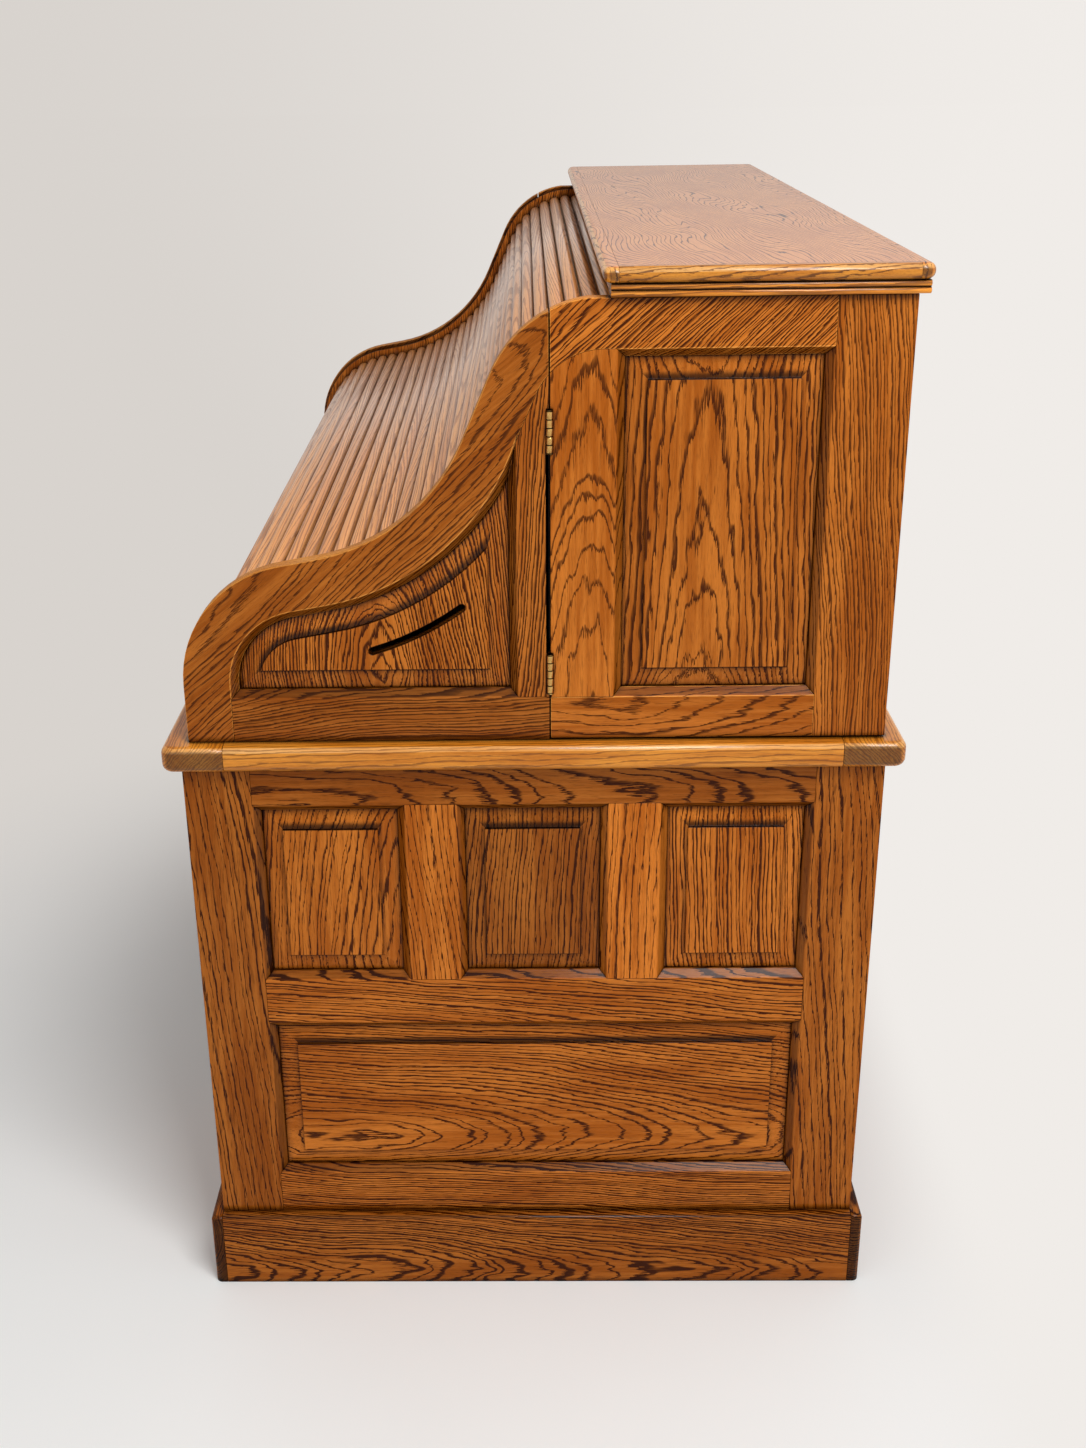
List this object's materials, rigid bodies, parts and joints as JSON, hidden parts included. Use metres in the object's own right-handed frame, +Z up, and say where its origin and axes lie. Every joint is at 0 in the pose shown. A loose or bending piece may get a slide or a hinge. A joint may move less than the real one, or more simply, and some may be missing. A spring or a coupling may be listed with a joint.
{
  "type": "roll-top desk",
  "caption": "Oak roll-top desk with an S-shaped slatted tambour, framed ends, pedestal drawers, pigeonholes and hinged side doors behind letter slots.",
  "frame": {"origin": "on the floor under the middle of the desk", "axes": "+X to the sitter's right along the width, -Y to the front where the sitter is, +Z up"},
  "size_m": [1.524, 0.85, 1.285],
  "materials": {
    "frame_oak": "satin varnish",
    "panel_oak": "satin varnish",
    "top_oak": "satin varnish",
    "tambour_oak": "satin varnish",
    "inner_oak": "oiled",
    "hinge_brass": "worn polish",
    "magnet_steel": "plain"
  },
  "bodies": {
    "carcass": {"end_stiles": "frame_oak", "end_rails": "frame_oak", "end_panels": "panel_oak", "back_stiles": "frame_oak", "back_rails": "frame_oak", "back_panels": "panel_oak", "gallery_back_stiles": "frame_oak", "gallery_back_rails": "frame_oak", "gallery_back_panels": "panel_oak", "plinth_boards": "frame_oak", "inner_sides": "inner_oak", "front_rails": "frame_oak", "drawer_runners": "inner_oak", "worktop_strips": "top_oak", "worktop_field": "top_oak", "wing_curved_rails": "frame_oak", "wing_bottom_rails": "frame_oak", "wing_stiles": "frame_oak", "wing_panels": "panel_oak", "hinge_fixed_leaves": "hinge_brass", "hinge_pins": "hinge_brass", "door_magnets": "magnet_steel", "right_track_boards": "inner_oak", "left_track_boards": "inner_oak", "top_board": "top_oak", "top_moulding": "top_oak", "pigeonhole_case": "inner_oak", "pigeonhole_dividers": "inner_oak"},
    "right_top_drawer": {"right_top_drawer_front": "frame_oak", "right_top_drawer_box": "inner_oak"},
    "left_top_drawer": {"left_top_drawer_front": "frame_oak", "left_top_drawer_box": "inner_oak"},
    "right_middle_drawer": {"right_middle_drawer_front": "frame_oak", "right_middle_drawer_box": "inner_oak"},
    "left_middle_drawer": {"left_middle_drawer_front": "frame_oak", "left_middle_drawer_box": "inner_oak"},
    "right_file_drawer": {"right_file_drawer_front": "frame_oak", "right_file_drawer_box": "inner_oak"},
    "left_file_drawer": {"left_file_drawer_front": "frame_oak", "left_file_drawer_box": "inner_oak"},
    "centre_drawer": {"centre_drawer_front": "frame_oak", "centre_drawer_box": "inner_oak"},
    "right_door": {"right_door_stiles": "frame_oak", "right_door_rails": "frame_oak", "right_door_panel": "panel_oak", "right_door_hardware": "hinge_brass"},
    "left_door": {"left_door_stiles": "frame_oak", "left_door_rails": "frame_oak", "left_door_panel": "panel_oak", "left_door_hardware": "hinge_brass"},
    "tambour_section_1": {"tambour_section_1": "tambour_oak"},
    "tambour_section_2": {"tambour_section_2": "tambour_oak"},
    "tambour_section_3": {"tambour_section_3": "tambour_oak"},
    "tambour_section_4": {"tambour_section_4": "tambour_oak"},
    "tambour_section_5": {"tambour_section_5": "tambour_oak"},
    "tambour_section_6": {"tambour_section_6": "tambour_oak"},
    "tambour_section_7": {"tambour_section_7": "tambour_oak"},
    "lift_rail": {"lift_rail": "tambour_oak", "lift_handles": "tambour_oak"}
  },
  "joints": [
    {"name": "tambour_lift", "type": "hinge", "parent": "carcass", "child": "lift_rail", "pos_m": [0, 0.14396, 0.70665], "axis": [-1, 0, 0], "range_deg": [0, 68.88]},
    {"name": "tambour_section_1_travel", "type": "hinge", "parent": "carcass", "child": "tambour_section_1", "pos_m": [0, 0.15289, 0.69601], "axis": [-1, 0, 0], "range_deg": [0, 67.35], "deforming": ["tambour_section_1"]},
    {"name": "tambour_section_2_travel", "type": "hinge", "parent": "carcass", "child": "tambour_section_2", "pos_m": [0, 0.73569, -0.23576], "axis": [-1, 0, 0], "range_deg": [0, 21.78], "deforming": ["tambour_section_2"]},
    {"name": "tambour_section_3_travel", "type": "hinge", "parent": "carcass", "child": "tambour_section_3", "pos_m": [0, 0.38937, 0.3979], "axis": [-1, 0, 0], "range_deg": [0, 40.34], "deforming": ["tambour_section_3"]},
    {"name": "tambour_section_4_travel", "type": "hinge", "parent": "carcass", "child": "tambour_section_4", "pos_m": [0, 0.15363, 0.95023], "axis": [-1, 0, 0], "range_deg": [0, 123.24], "deforming": ["tambour_section_4"]},
    {"name": "tambour_section_5_travel", "type": "hinge", "parent": "carcass", "child": "tambour_section_5", "pos_m": [0, 0.14488, 1.01228], "axis": [-1, 0, 0], "range_deg": [0, 150.95], "deforming": ["tambour_section_5"]},
    {"name": "tambour_section_6_travel", "type": "hinge", "parent": "carcass", "child": "tambour_section_6", "pos_m": [0, 0.14436, 1.01045], "axis": [-1, 0, 0], "range_deg": [0, 150.14], "deforming": ["tambour_section_6"]},
    {"name": "tambour_section_7_travel", "type": "hinge", "parent": "carcass", "child": "tambour_section_7", "pos_m": [0, 0.07305, 0.92524], "axis": [-1, 0, 0], "range_deg": [0, 106.13], "deforming": ["tambour_section_7"]},
    {"name": "right_door_hinge", "type": "hinge", "parent": "carcass", "child": "right_door", "pos_m": [0.7435, 0.021, 1], "axis": [0, 0, -1], "range_deg": [0, 170]},
    {"name": "left_door_hinge", "type": "hinge", "parent": "carcass", "child": "left_door", "pos_m": [-0.7435, 0.021, 1], "axis": [0, 0, 1], "range_deg": [0, 170]},
    {"name": "right_top_drawer_slide", "type": "slide", "parent": "carcass", "child": "right_top_drawer", "axis": [0, -1, 0], "range_m": [0, 0.45]},
    {"name": "left_top_drawer_slide", "type": "slide", "parent": "carcass", "child": "left_top_drawer", "axis": [0, -1, 0], "range_m": [0, 0.45]},
    {"name": "right_middle_drawer_slide", "type": "slide", "parent": "carcass", "child": "right_middle_drawer", "axis": [0, -1, 0], "range_m": [0, 0.45]},
    {"name": "left_middle_drawer_slide", "type": "slide", "parent": "carcass", "child": "left_middle_drawer", "axis": [0, -1, 0], "range_m": [0, 0.45]},
    {"name": "right_file_drawer_slide", "type": "slide", "parent": "carcass", "child": "right_file_drawer", "axis": [0, -1, 0], "range_m": [0, 0.45]},
    {"name": "left_file_drawer_slide", "type": "slide", "parent": "carcass", "child": "left_file_drawer", "axis": [0, -1, 0], "range_m": [0, 0.45]},
    {"name": "centre_drawer_slide", "type": "slide", "parent": "carcass", "child": "centre_drawer", "axis": [0, -1, 0], "range_m": [0, 0.45]}
  ],
  "couplings": [
    {"joint": "tambour_section_1_travel", "follows": "tambour_lift", "ratio": 0.97701},
    {"joint": "tambour_section_2_travel", "follows": "tambour_lift", "ratio": 0.31545},
    {"joint": "tambour_section_3_travel", "follows": "tambour_lift", "ratio": 0.58497},
    {"joint": "tambour_section_4_travel", "follows": "tambour_lift", "ratio": 1.7884},
    {"joint": "tambour_section_5_travel", "follows": "tambour_lift", "ratio": 2.1907},
    {"joint": "tambour_section_6_travel", "follows": "tambour_lift", "ratio": 2.1789},
    {"joint": "tambour_section_7_travel", "follows": "tambour_lift", "ratio": 1.54}
  ]
}
